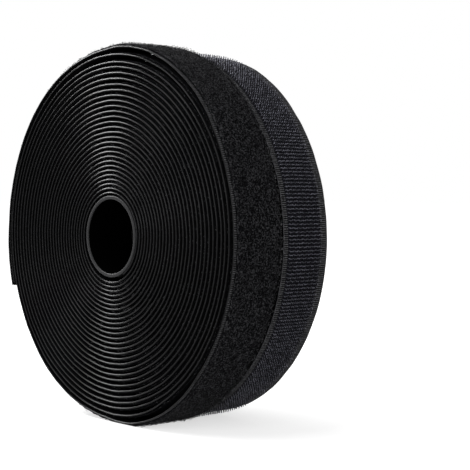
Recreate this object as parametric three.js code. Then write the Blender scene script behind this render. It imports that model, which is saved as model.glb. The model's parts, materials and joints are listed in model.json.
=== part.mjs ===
// Hook and loop tape on two rolls, standing side by side on edge, in millimetres.
// X runs across the rolls, Y along their shared axis and Z is up.
// The loop roll is in front, at -Y, with its pile outwards, and the hook roll is behind it.
// The origin is on the floor, under the middle of the outline.
// Angles are in degrees, from +X towards +Z, and they go on past 360 as a tape winds outwards.
import * as THREE from "three";

// The tape: a woven web one inch wide, with a bare selvage along each edge, a face of pile or hooks
// between them and a liner on its back
const TAPE_WIDTH = 25.4;
const WEB_THICKNESS = 0.9;
const SELVAGE_WIDTH = 2.6;
const PILE_HEIGHT = 1.3;
const HOOK_HEIGHT = 1.2;
const LINER_INSET = 0.2;
const LINER_THICKNESS = 0.25;
const FACE_WIDTH = TAPE_WIDTH - 2 * SELVAGE_WIDTH;
const LINER_WIDTH = TAPE_WIDTH - 2 * LINER_INSET;

// The cores and the rolls
const BORE_RADIUS = 16;
const CORE_WALL = 2.1;
const CORE_CHAMFER = 0.4;
const AXIS_HEIGHT = 82.4;
const FOOT_DEPTH = 0.5;
const FREE_END_LIFT = 0.6;

// Clearances between layers that lie on each other, and between the two rolls
const LAYER_GAP = 0.3;
const ROLL_GAP = 0.3;

// The windings: turns begun, flat facets in a turn, layers in a turn (liner, web and face), and
// facets in the part of the free end that peels
const TURNS = 23;
const FACETS = 24;
const LAYERS = 3;
const PEEL_FACETS = 3;
const CORE_SIDES = 32;
const FACET_ANGLE = 360 / FACETS;
const FLOOR_ANGLE = -90;
const INNER_END_ANGLE = 300 - 360 * TURNS;
const LOOP_FREE_END_ANGLE = 198;
const HOOK_FREE_END_ANGLE = 150;
const SAMPLES_IN_A_FACET = 4;

const radians = THREE.MathUtils.degToRad;
const degrees = THREE.MathUtils.radToDeg;

// The middle of a flat facet lies at this share of its corners' radius
const FACET_MIDDLE_SHARE = Math.cos(radians(FACET_ANGLE / 2));

const FINISHES = {
  core: { color: 0x5a5a5c, roughness: 0.55 },
  web: { color: 0x4a4a4c, roughness: 0.7 },
  pile: { color: 0x1c1c1e, roughness: 0.95 },
  hooks: { color: 0x22222a, roughness: 0.45 },
  liner: { color: 0x0c0c0d, roughness: 0.15 },
};

// The corner of a facet at or before an angle. One facet is centred on the floor.
function cornerBefore(angle) {
  const first = FLOOR_ANGLE + FACET_ANGLE / 2;
  return first + Math.floor((angle - first) / FACET_ANGLE) * FACET_ANGLE;
}

// How one roll winds. It rises evenly from the core, then a little faster from where the free end
// starts to peel, one turn back, so that the outermost turn clears the face below it.
function windingOf(freeEnd, faceHeight) {
  const peelFrom = cornerBefore(freeEnd) - (PEEL_FACETS - 1) * FACET_ANGLE;
  const looseFrom = peelFrom - 360;
  const start = cornerBefore(INNER_END_ANGLE);
  const startRadius = (BORE_RADIUS + CORE_WALL + LAYER_GAP) / FACET_MIDDLE_SHARE + WEB_THICKNESS;
  const looseRise = LINER_THICKNESS + WEB_THICKNESS + faceHeight + LAYERS * LAYER_GAP;
  const floorRadius = (AXIS_HEIGHT + FOOT_DEPTH) / FACET_MIDDLE_SHARE - faceHeight - LAYER_GAP;
  const looseRadius = floorRadius - (looseRise * (FLOOR_ANGLE - looseFrom)) / 360;
  const rise = ((looseRadius - startRadius) * 360) / (looseFrom - start);
  return { freeEnd, peelFrom, looseFrom, start, startRadius, looseRadius, looseRise, rise };
}

// Radius of the web's outer face at an angle
function faceRadius(winding, angle) {
  const { freeEnd, peelFrom, looseFrom, start, startRadius, looseRadius, looseRise, rise } = winding;
  if (angle < looseFrom) {
    return startRadius + (rise * (angle - start)) / 360;
  }
  const peeled = Math.max(0, (angle - peelFrom) / (freeEnd - peelFrom));
  return looseRadius + (looseRise * (angle - looseFrom)) / 360 + FREE_END_LIFT * peeled ** 2;
}

// A point at some height over the web's outer face, on the flat facet that holds the angle
function facetPoint(winding, angle, height) {
  const corners = [cornerBefore(angle), cornerBefore(angle) + FACET_ANGLE].map((corner) => {
    const radius = faceRadius(winding, corner) + height;
    return new THREE.Vector2(radius * Math.cos(radians(corner)), radius * Math.sin(radians(corner)));
  });
  return corners[0].lerp(corners[1], (angle - cornerBefore(angle)) / FACET_ANGLE);
}

// A layer of the roll between two angles: a tube of four flat sides that follows the spiral.
// Its inner and outer faces lie at two heights over the web's outer face.
function layerGeometry(winding, from, to, inner, outer, width) {
  const angles = [from];
  for (let corner = cornerBefore(from) + FACET_ANGLE; corner < to; corner += FACET_ANGLE) {
    angles.push(corner);
  }
  angles.push(to);

  const positions = [];
  for (const angle of angles) {
    for (const [height, y] of [
      [inner, -width / 2],
      [outer, -width / 2],
      [outer, width / 2],
      [inner, width / 2],
    ]) {
      const point = facetPoint(winding, angle, height);
      // The roll's weight presses the outermost layer flat on the floor
      positions.push(point.x, y, Math.max(point.y, -AXIS_HEIGHT));
    }
  }

  const faces = [];
  for (let ring = 0; ring < angles.length - 1; ring++) {
    for (let side = 0; side < 4; side++) {
      const a = 4 * ring + side;
      const b = 4 * ring + ((side + 1) % 4);
      faces.push(a, b, a + 4, b, b + 4, a + 4);
    }
  }
  const last = 4 * (angles.length - 1);
  faces.push(0, 2, 1, 0, 3, 2, last, last + 1, last + 2, last, last + 2, last + 3);

  const geometry = new THREE.BufferGeometry();
  geometry.setAttribute("position", new THREE.Float32BufferAttribute(positions, 3));
  geometry.setIndex(faces);
  geometry.computeVertexNormals();
  return geometry;
}

// A moulded ring with chamfered rims, turned about Y
function coreGeometry() {
  const inner = BORE_RADIUS;
  const outer = BORE_RADIUS + CORE_WALL;
  const rim = TAPE_WIDTH / 2;
  const profile = [
    [inner, -rim + CORE_CHAMFER],
    [inner + CORE_CHAMFER, -rim],
    [outer - CORE_CHAMFER, -rim],
    [outer, -rim + CORE_CHAMFER],
    [outer, rim - CORE_CHAMFER],
    [outer - CORE_CHAMFER, rim],
    [inner + CORE_CHAMFER, rim],
    [inner, rim - CORE_CHAMFER],
    [inner, -rim + CORE_CHAMFER],
  ];
  return new THREE.LatheGeometry(
    profile.map(([radius, y]) => new THREE.Vector2(radius, y)),
    CORE_SIDES,
  );
}

function piece(name, geometry, finish) {
  const mesh = new THREE.Mesh(geometry, new THREE.MeshStandardMaterial({ metalness: 0, ...finish }));
  mesh.name = name;
  return mesh;
}

// The least distance from any turn to the next one out, measured between points on their faces
function leastTurnGap(winding) {
  const step = FACET_ANGLE / SAMPLES_IN_A_FACET;
  const inTurn = FACETS * SAMPLES_IN_A_FACET;
  const outside = [];
  const inside = [];
  for (let angle = INNER_END_ANGLE; angle <= winding.freeEnd; angle += step) {
    outside.push(facetPoint(winding, angle, 0));
    inside.push(facetPoint(winding, angle, -WEB_THICKNESS));
  }
  let least = Infinity;
  for (let i = 0; i + inTurn < inside.length; i++) {
    const above = i + inTurn;
    for (const point of inside.slice(above - SAMPLES_IN_A_FACET, above + SAMPLES_IN_A_FACET)) {
      least = Math.min(least, point.distanceTo(outside[i]));
    }
  }
  return least;
}

// One roll about its own axis: core, web, liner and face, with the free end on a pivot at the outer
// corner where it peels, so that every layer of it swings clear of what stays on the roll
function makeRoll(name, freeEnd, face) {
  const winding = windingOf(freeEnd, face.height);
  const { peelFrom, looseFrom } = winding;
  const gapAngle = degrees(LAYER_GAP / faceRadius(winding, peelFrom));
  const layers = [
    {
      node: "tape",
      inner: -WEB_THICKNESS,
      outer: 0,
      width: TAPE_WIDTH,
      from: INNER_END_ANGLE,
      finish: FINISHES.web,
    },
    {
      node: "liner",
      inner: -WEB_THICKNESS - LAYER_GAP - LINER_THICKNESS,
      outer: -WEB_THICKNESS - LAYER_GAP,
      width: LINER_WIDTH,
      from: freeEnd - 360,
      finish: FINISHES.liner,
    },
    {
      node: face.node,
      inner: LAYER_GAP,
      outer: LAYER_GAP + face.height,
      width: FACE_WIDTH,
      from: looseFrom,
      finish: face.finish,
    },
  ];

  const roll = new THREE.Group();
  roll.add(piece(`${name}_core`, coreGeometry(), FINISHES.core));

  const corner = facetPoint(winding, peelFrom, LAYER_GAP + face.height);
  const pivot = new THREE.Group();
  pivot.position.set(corner.x, 0, corner.y);
  roll.add(pivot);

  for (const { node, inner, outer, width, from, finish } of layers) {
    const wound = layerGeometry(winding, from, peelFrom, inner, outer, width);
    roll.add(piece(`${name}_${node}`, wound, finish));

    const loose = layerGeometry(winding, peelFrom + gapAngle, freeEnd, inner, outer, width);
    const end = piece(`${name}_${node}_end`, loose, finish);
    end.position.copy(pivot.position).negate();
    pivot.add(end);
  }

  const loops = (freeEnd - INNER_END_ANGLE) / 360;
  console.log(
    `${name} tape: ${loops.toFixed(1)} loops rising ${winding.rise.toFixed(2)} mm each,`,
    `least gap between turns ${leastTurnGap(winding).toFixed(2)} mm`,
  );
  return { roll, pivot };
}

const loop = makeRoll("loop", LOOP_FREE_END_ANGLE, {
  node: "pile",
  height: PILE_HEIGHT,
  finish: FINISHES.pile,
});
const hook = makeRoll("hook", HOOK_FREE_END_ANGLE, {
  node: "field",
  height: HOOK_HEIGHT,
  finish: FINISHES.hooks,
});
loop.roll.position.set(0, -(TAPE_WIDTH + ROLL_GAP) / 2, AXIS_HEIGHT);
hook.roll.position.set(0, (TAPE_WIDTH + ROLL_GAP) / 2, AXIS_HEIGHT);

// The free ends bulge on one side, so the pair moves over to stand on the middle of its outline
const rolls = new THREE.Group();
rolls.add(loop.roll, hook.roll);
const outline = new THREE.Box3().setFromObject(rolls);
rolls.position.x = -(outline.min.x + outline.max.x) / 2;

const part = new THREE.Group();
part.add(rolls);
part.updateMatrixWorld(true);
const turning = { "roll axis": hook.roll, "loop pivot": loop.pivot, "hook pivot": hook.pivot };
for (const [name, group] of Object.entries(turning)) {
  const { x, z } = group.getWorldPosition(new THREE.Vector3());
  console.log(`${name} at x ${x.toFixed(3)}, z ${z.toFixed(3)}`);
}

export default part;
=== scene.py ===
# Two rolls of hook and loop tape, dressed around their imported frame.
# Lengths are in metres. Angles run from +X towards +Z about the rolls' axis, which lies along Y,
# and a turn count grows from the inner end of a tape, so that every layer of a roll follows one
# rule.
import json
import math
from dataclasses import dataclass

import bmesh
import bpy
from bpy.props import FloatProperty, FloatVectorProperty, IntProperty, PointerProperty
from bpy.types import Operator, Panel, PropertyGroup
from mathutils import Matrix, Vector


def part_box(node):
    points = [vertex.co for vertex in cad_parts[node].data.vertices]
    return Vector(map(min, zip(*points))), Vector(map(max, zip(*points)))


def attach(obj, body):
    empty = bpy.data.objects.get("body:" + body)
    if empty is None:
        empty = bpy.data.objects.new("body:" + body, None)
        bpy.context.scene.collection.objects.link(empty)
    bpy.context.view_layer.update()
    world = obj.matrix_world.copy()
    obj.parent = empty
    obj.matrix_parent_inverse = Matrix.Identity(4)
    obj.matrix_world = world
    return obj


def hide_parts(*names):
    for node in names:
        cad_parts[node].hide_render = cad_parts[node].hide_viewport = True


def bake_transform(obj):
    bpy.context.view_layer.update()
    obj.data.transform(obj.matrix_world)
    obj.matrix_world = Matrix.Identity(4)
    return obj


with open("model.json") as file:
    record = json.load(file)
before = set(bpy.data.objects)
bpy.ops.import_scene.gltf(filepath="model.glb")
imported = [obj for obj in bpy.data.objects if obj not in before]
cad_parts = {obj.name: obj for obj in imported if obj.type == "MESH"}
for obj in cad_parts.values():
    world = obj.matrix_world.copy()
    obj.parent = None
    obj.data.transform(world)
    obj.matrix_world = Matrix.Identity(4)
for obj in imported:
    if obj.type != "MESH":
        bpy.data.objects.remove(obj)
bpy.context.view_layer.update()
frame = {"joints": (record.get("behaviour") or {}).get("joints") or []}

bl_info = {
    "name": "Hook and loop tape rolls",
    "version": (1, 0, 0),
    "blender": (4, 5, 0),
    "location": "View3D > Sidebar > Tape Rolls",
    "description": "Winds a roll of loop tape and a roll of hook tape around a packed frame",
    "category": "Add Mesh",
}

MM = 0.001


# What the frame gives

JOINTS = {joint["name"]: joint for joint in frame["joints"]}
AXIS = Vector(JOINTS["hook_roll_turn"]["pos_m"])
TAPE_LOW, TAPE_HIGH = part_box("loop_tape")
TAPE_WIDTH = TAPE_HIGH.y - TAPE_LOW.y
CORE_RADIUS = (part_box("loop_core")[1].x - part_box("loop_core")[0].x) / 2

# The inner end of each tape lies at the lower right of its core, and this many turns are begun
INNER_END = math.radians(300)
TURNS_BEGUN = 29


@dataclass(frozen=True)
class Roll:
    """What sets one roll apart: the bare selvages at the front and rear of its tape, and a contour
    that says how far its last turns bulge past an even spiral, as pairs of turns counted back from
    the free end and millimetres, read off the photograph."""

    name: str
    open_side: int
    free_end_degrees: float
    front_selvage: float
    rear_selvage: float
    contour: tuple

    @property
    def middle(self):
        low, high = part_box(f"{self.name}_tape")
        return (low.y + high.y) / 2

    @property
    def face(self):
        """Where the face of the tape begins and ends across it, from the middle of the tape."""
        return self.front_selvage - TAPE_WIDTH / 2, TAPE_WIDTH / 2 - self.rear_selvage

    @property
    def hinge(self):
        return Vector(JOINTS[f"{self.name}_end_peel"]["pos_m"])

    @property
    def hinge_degrees(self):
        arm = self.hinge - AXIS
        return math.degrees(math.atan2(arm.z, arm.x))

    @property
    def free_end(self):
        return self.turn_at(self.free_end_degrees)

    def turn_at(self, degrees):
        """The turn count where the outermost turn passes an angle."""
        return TURNS_BEGUN + degrees / 360 - INNER_END / math.tau


LOOP_ROLL = Roll(
    name="loop",
    open_side=-1,
    free_end_degrees=198,
    front_selvage=1.3 * MM,
    rear_selvage=0.5 * MM,
    contour=(
        (3, 0), (1.85, -0.1), (1.76, 0.5), (1.7, -0.7), (1.45, 0.2), (1.33, 0.5), (1.2, 0),
        (1, -0.5), (0.885, -0.1), (0.825, -0.3), (0.755, 1.5), (0.65, 0), (0.55, -0.1),
        (0.467, 0.5), (0.386, 1.8), (0.31, 1.1), (0.25, 0), (0.16, 0), (0.085, -0.3), (0.03, 0.5),
        (0, 0.7),
    ),
)
HOOK_ROLL = Roll(
    name="hook",
    open_side=1,
    free_end_degrees=150,
    front_selvage=2.1 * MM,
    rear_selvage=4.0 * MM,
    contour=(
        (3, 0), (2.7, 0.2), (2.45, 0.6), (2.1, 0.1), (1.7, 0.3), (1.5, 1.3), (1.3, 1), (1.1, 0),
        (0.916, 0.5), (0.7, 0.4), (0.6, 1.7), (0.52, 2.1), (0.416, 1.8), (0.31, 1.9), (0.22, 0.7),
        (0.166, -0.4), (0.1, -0.5), (0, 0.7),
    ),
)
ROLLS = (LOOP_ROLL, HOOK_ROLL)

# A float curve holds shares from 0 to 1, so it covers this many turns and bulges this far each way
CONTOUR_TURNS = 3.0
CONTOUR_RANGE = 2.5 * MM


def linear(hex_colour):
    """A colour written as sRGB hex, as linear red, green, blue and alpha."""
    shares = [int(hex_colour[i : i + 2], 16) / 255 for i in (0, 2, 4)]
    return (*(s / 12.92 if s <= 0.04045 else ((s + 0.055) / 1.055) ** 2.4 for s in shares), 1.0)


# Settings that a user would change


def size(name, description, millimetres):
    length = millimetres * MM
    return FloatProperty(
        name=name, description=description, default=length, min=0, precision=5, unit="LENGTH"
    )


def colour(name, description, hex_colour):
    shares = linear(hex_colour)
    return FloatVectorProperty(
        name=name, description=description, default=shares, min=0, max=1, size=4, subtype="COLOR"
    )


def lamp_power(name, description, watts):
    return FloatProperty(name=name, description=description, default=watts, min=0, unit="POWER")


class TapeSizes(PropertyGroup):
    """Sizes of the tape and of what stands on it."""

    web: size("Web", "Thickness of the woven web", 0.6)
    web_edge: size("Web edge", "Bevels that the hot cut leaves on the web's edges", 0.2)
    bevel_run: size("Bevel run", "How much further the outer bevel runs down the edge", 0.09)
    rib_pitch: size("Rib pitch", "Spacing of the ribs across the web", 0.9)
    rib_height: size("Rib height", "Height of the ribs across the web", 0.07)
    liner: size("Liner", "Thickness of the release liner", 0.13)
    liner_inset: size("Liner inset", "How far the liner lies in from each edge of the web", 1.0)
    layer_gap: size("Layer gap", "Air between the web and its liner", 0.04)
    pile: size("Pile", "Height of the felted pile under its standing loops", 1.2)
    inner_pile: size("Inner pile", "Height of the pile that is pressed between turns", 0.8)
    inner_face: size("Inner face", "Width of the pile that is pressed between turns", 22.0)
    loop: size("Loop", "Radius of a standing pile loop", 0.42)
    fibre: size("Fibre", "Thickness of a standing pile loop's fibre", 0.13)
    hook_pitch: size("Hook pitch", "Spacing of the hook rows along the tape", 1.55)
    hook_column: size("Hook column", "Spacing of the hooks across the tape", 1.28)
    hook_wire: size("Hook wire", "Thickness of a hook's monofilament", 0.32)


class WindingSizes(PropertyGroup):
    """How a tape winds from its core."""

    first_radius: size("First radius", "Radius of the web's outer face at the inner end", 18.9)
    pitch: size("Pitch", "Rise of the first turn", 1.88)
    growth: size("Growth", "Further rise of each turn after it", 0.025)
    wander: size("Wander", "How far a turn strays from its rule at most", 0.5)
    wander_side: size("Side wander", "How far a turn strays sideways at most", 0.2)
    wander_size: size("Wander size", "Length of tape over which a turn strays", 11)
    steps: IntProperty(name="Steps", description="Steps in a turn", default=180, min=12)
    fine_steps: IntProperty(
        name="Fine steps", description="Steps in a turn that shows its ribs", default=2290, min=12
    )


class Finishes(PropertyGroup):
    """Colours of the materials."""

    core: colour("Core", "Moulded core ring", "1a1a1b")
    # Painted shade: the bore's wall is coloured near black, for the dark inside the core
    bore: colour("Bore", "Wall of the bore, in the dark of the core", "020202")
    web: colour("Web", "Woven nylon web", "0e0e0f")
    # Painted highlight: the cut edges are paler than the web, for the light their bevels catch; the
    # hook roll's are much paler, for soft highlights on its rings
    loop_cut_highlight: colour("Loop cut", "Cut edge of the loop web, sealed by heat", "131314")
    hook_cut_highlight: colour("Hook cut", "Cut edge of the hook web, sealed by heat", "38383a")
    # Painted highlight: the crests of the selvage ribs are painted this paler grey, for the light
    # they catch
    selvage_rib_highlight: colour("Selvage", "Ribs of the web's bare selvages", "4c4c4e")
    hook_ground: colour("Hook ground", "Web between the hooks", "131317")
    # Painted shade: the pile's depth is painted near black for the shade among its loops, over the
    # black of the nylon
    pile: colour("Pile", "Felted depth of the pile", "040405")
    curls: colour("Curls", "Curled ends of the pile", "363638")
    # Painted shade: the curls between the turns are painted darker than those outside, for the shade
    # between the turns
    pressed_curls_painted_shade: colour("Pressed curls", "Curled ends of the pile between the turns", "18181a")
    loops: colour("Loops", "Standing loops of the pile", "2a2a2c")
    # Painted highlight: loops at the pile's edges are painted paler than the standing loops, for the
    # light they catch
    edge_loops_painted_highlight: colour("Edge loops", "Loops that stand out at the edges of the pile", "444446")
    # Painted sheen: the hooks are painted a pale bluish grey, paler than the web of the same nylon
    hooks: colour("Hooks", "Nylon monofilament hooks", "5c5c64")
    liner: colour("Liner", "Glossy release liner", "0a0a0b")
    adhesive: colour("Adhesive", "Pressure-sensitive adhesive", "080809")
    floor: colour("Floor", "Floor", "c8c8c8")


class StageSettings(PropertyGroup):
    """Soft studio light."""

    key: lamp_power("Key", "Softbox at the upper left", 10.5)
    top: lamp_power("Top", "Softbox over the front", 4.6)
    front: lamp_power("Front", "Softbox before the open side", 2.2)
    fill: lamp_power("Fill", "Softbox at the right", 4.2)
    sky: FloatProperty(
        name="Sky",
        description="Even light from the backdrop",
        default=0.3,
        min=0,
        max=1,
        subtype="FACTOR",
    )


class TapeRollSettings(PropertyGroup):
    """All settings of the two rolls."""

    tape: PointerProperty(type=TapeSizes, name="Tape", description="Sizes of the tape")
    winding: PointerProperty(type=WindingSizes, name="Winding", description="How a tape winds")
    finishes: PointerProperty(type=Finishes, name="Finishes", description="Colours")
    stage: PointerProperty(type=StageSettings, name="Stage", description="Light")


def settings():
    return bpy.context.scene.tape_rolls


# Node trees

MATH = "ShaderNodeMath"
VECTOR_MATH = "ShaderNodeVectorMath"
NOISE = "ShaderNodeTexNoise"
RANGE = "ShaderNodeMapRange"
JOIN_XYZ = "ShaderNodeCombineXYZ"
SPLIT_XYZ = "ShaderNodeSeparateXYZ"
STORE = "GeometryNodeStoreNamedAttribute"
NAMED = "GeometryNodeInputNamedAttribute"
RANDOM = "FunctionNodeRandomValue"
PLACE = "GeometryNodeSetPosition"

PLUS = {"operation": "ADD"}
MINUS = {"operation": "SUBTRACT"}
TIMES = {"operation": "MULTIPLY"}
TIMES_PLUS = {"operation": "MULTIPLY_ADD"}
OVER = {"operation": "DIVIDE"}
LARGER = {"operation": "MAXIMUM"}
ABOVE = {"operation": "GREATER_THAN"}
BELOW = {"operation": "LESS_THAN"}
SIZE_ONLY = {"operation": "ABSOLUTE"}
WAVE = {"operation": "SINE"}
STRETCH = {"operation": "SCALE"}
LIKENESS = {"operation": "DOT_PRODUCT"}
NUMBER = {"data_type": "FLOAT"}
ARROW = {"data_type": "FLOAT_VECTOR"}


def add(tree, kind, options=None, inputs=None):
    """Adds a node with its options, sets or links its inputs, and gives its outputs."""
    node = tree.nodes.new(kind)
    for name, value in (options or {}).items():
        setattr(node, name, value)
    for key, value in (inputs or {}).items():
        if isinstance(value, bpy.types.NodeSocket):
            tree.links.new(value, node.inputs[key])
        else:
            node.inputs[key].default_value = value
    return node.outputs


def new_tree(name, sockets):
    """An empty geometry tree with these named inputs, and the outputs of its input node."""
    tree = bpy.data.node_groups.new(name, "GeometryNodeTree")
    for label, kind, default in sockets:
        socket = tree.interface.new_socket(label, in_out="INPUT", socket_type=f"NodeSocket{kind}")
        if default is not None:
            socket.default_value = default
    tree.interface.new_socket("Geometry", in_out="OUTPUT", socket_type="NodeSocketGeometry")
    return tree, add(tree, "NodeGroupInput")


# A tape lies on its core up to the first of these turn counts, and strays fully from the second
STRAYS_FROM = 0.3
STRAYS_FULLY = 1.5

WINDING_SOCKETS = (
    ("First Radius", "Float", 0.0189),
    ("Pitch", "Float", 0.0019),
    ("Growth", "Float", 0.0),
    ("Wander", "Float", 0.0),
    ("Side Wander", "Float", 0.0),
    ("Wander Size", "Float", 0.01),
    ("From Turn", "Float", 0.0),
    ("To Turn", "Float", 1.0),
    ("Steps", "Int", 96),
    ("Height", "Float", 0.0),
)


def winding_tree(roll):
    """The path of a layer at some height over the web's outer face, with its normals outwards. Its
    radius is that of the first turn, plus the pitch of each turn since, plus the bulges of the last
    turns. Neighbouring turns stray together, so that none of them touch."""
    tree, given = new_tree(f"{roll.name} winding", WINDING_SOCKETS)
    line = add(tree, "GeometryNodeCurvePrimitiveLine")["Curve"]
    count = add(tree, MATH, PLUS, {0: given["Steps"], 1: 1.0})[0]
    path = add(tree, "GeometryNodeResampleCurve", None, {"Curve": line, "Count": count})[0]
    index = add(tree, "GeometryNodeInputIndex")[0]
    ends = {"From Max": given["Steps"], "To Min": given["From Turn"], "To Max": given["To Turn"]}
    turn = add(tree, RANGE, {"clamp": False}, {"Value": index, **ends})[0]

    # An even spiral, whose pitch grows a little from turn to turn
    half_growth = add(tree, MATH, TIMES, {0: given["Growth"], 1: 0.5})[0]
    mean_pitch = add(tree, MATH, TIMES_PLUS, {0: turn, 1: half_growth, 2: given["Pitch"]})[0]
    even = add(tree, MATH, TIMES_PLUS, {0: turn, 1: mean_pitch, 2: given["First Radius"]})[0]

    # The bulges of the last turns
    ends = {"From Min": roll.free_end - CONTOUR_TURNS, "From Max": roll.free_end}
    share = add(tree, RANGE, None, {"Value": turn, **ends})[0]
    bulge = add(tree, "ShaderNodeFloatCurve", None, {"Value": share})[0]
    mapping = bulge.node.mapping
    reach = 2 * CONTOUR_RANGE
    spots = [(1 - back / CONTOUR_TURNS, 0.5 + rise * MM / reach) for back, rise in roll.contour]
    first, last = mapping.curves[0].points
    first.location, last.location = spots[0], spots[-1]
    for spot in spots[1:-1]:
        mapping.curves[0].points.new(*spot)
    mapping.update()
    bulge = add(tree, MATH, TIMES_PLUS, {0: bulge, 1: reach, 2: -CONTOUR_RANGE})[0]
    radius = add(tree, MATH, PLUS, {0: even, 1: bulge})[0]

    angle = add(tree, MATH, TIMES_PLUS, {0: turn, 1: math.tau, 2: INNER_END})[0]
    across = add(tree, MATH, {"operation": "COSINE"}, {0: angle})[0]
    up = add(tree, MATH, {"operation": "SINE"}, {0: angle})[0]
    outward = add(tree, JOIN_XYZ, None, {"X": across, "Z": up})[0]
    middle = (AXIS.x, roll.middle, AXIS.z)
    ruled = add(tree, VECTOR_MATH, STRETCH, {0: outward, "Scale": radius})[0]
    ruled = add(tree, VECTOR_MATH, PLUS, {0: ruled, 1: middle})[0]

    # The first turn lies on the core, and the rest stray by where they lie, up to the whole wander
    fineness = add(tree, MATH, OVER, {0: 1.0, 1: given["Wander Size"]})[0]
    stray = add(tree, NOISE, None, {"Vector": ruled, "Scale": fineness, "Detail": 1.0})["Color"]
    stray = add(tree, VECTOR_MATH, MINUS, {0: stray, 1: (0.5, 0.5, 0.5)})[0]
    loose = {"Value": turn, "From Min": STRAYS_FROM, "From Max": STRAYS_FULLY}
    loose = add(tree, RANGE, None, loose)[0]
    stray = add(tree, VECTOR_MATH, STRETCH, {0: stray, "Scale": loose})[0]
    stray = add(tree, SPLIT_XYZ, None, {0: stray})
    rise = add(tree, MATH, TIMES_PLUS, {0: stray["X"], 1: given["Wander"], 2: given["Height"]})[0]
    aside = add(tree, MATH, TIMES, {0: stray["Y"], 1: given["Side Wander"]})[0]
    rise = add(tree, VECTOR_MATH, STRETCH, {0: outward, "Scale": rise})[0]
    spot = add(tree, VECTOR_MATH, PLUS, {0: ruled, 1: rise})[0]
    aside = add(tree, JOIN_XYZ, None, {"Y": aside})[0]
    spot = add(tree, VECTOR_MATH, PLUS, {0: spot, 1: aside})[0]

    wound = add(tree, PLACE, None, {"Geometry": path, "Position": spot})[0]
    wound = add(tree, STORE, NUMBER, {"Geometry": wound, "Name": "turn", "Value": turn})[0]
    wound = add(tree, STORE, ARROW, {"Geometry": wound, "Name": "outward", "Value": outward})[0]
    run = add(tree, "GeometryNodeSplineParameter")["Length"]
    wound = add(tree, STORE, NUMBER, {"Geometry": wound, "Name": "along", "Value": run})[0]
    outward = add(tree, NAMED, ARROW, {"Name": "outward"})["Attribute"]
    normals = {"Curve": wound, "Normal": outward}
    wound = add(tree, "GeometryNodeSetCurveNormal", {"mode": "FREE"}, normals)[0]
    add(tree, "NodeGroupOutput", None, {"Geometry": wound})
    return tree


def end_tree(tree, geometry, material):
    """Makes instances real, keeps them above the floor, smooths them and sets their material."""
    real = add(tree, "GeometryNodeRealizeInstances", None, {"Geometry": geometry})[0]
    spot = add(tree, SPLIT_XYZ, None, {0: add(tree, "GeometryNodeInputPosition")[0]})
    height = add(tree, MATH, LARGER, {0: spot["Z"], 1: 0.0})[0]
    spot = add(tree, JOIN_XYZ, None, {"X": spot["X"], "Y": spot["Y"], "Z": height})[0]
    real = add(tree, PLACE, None, {"Geometry": real, "Position": spot})[0]
    real = add(tree, "GeometryNodeSetShadeSmooth", None, {"Geometry": real})[0]
    return add(tree, "GeometryNodeSetMaterial", None, {"Geometry": real, "Material": material})[0]


# Points of a section further out than this share of its thickness lie on its outer face
OUTER_FACE = 0.49

# How nearly the normal of a face points outwards where it belongs to the outer side, or to the back
FACES_OUT = 0.3
FACES_BACK = -0.9


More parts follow.
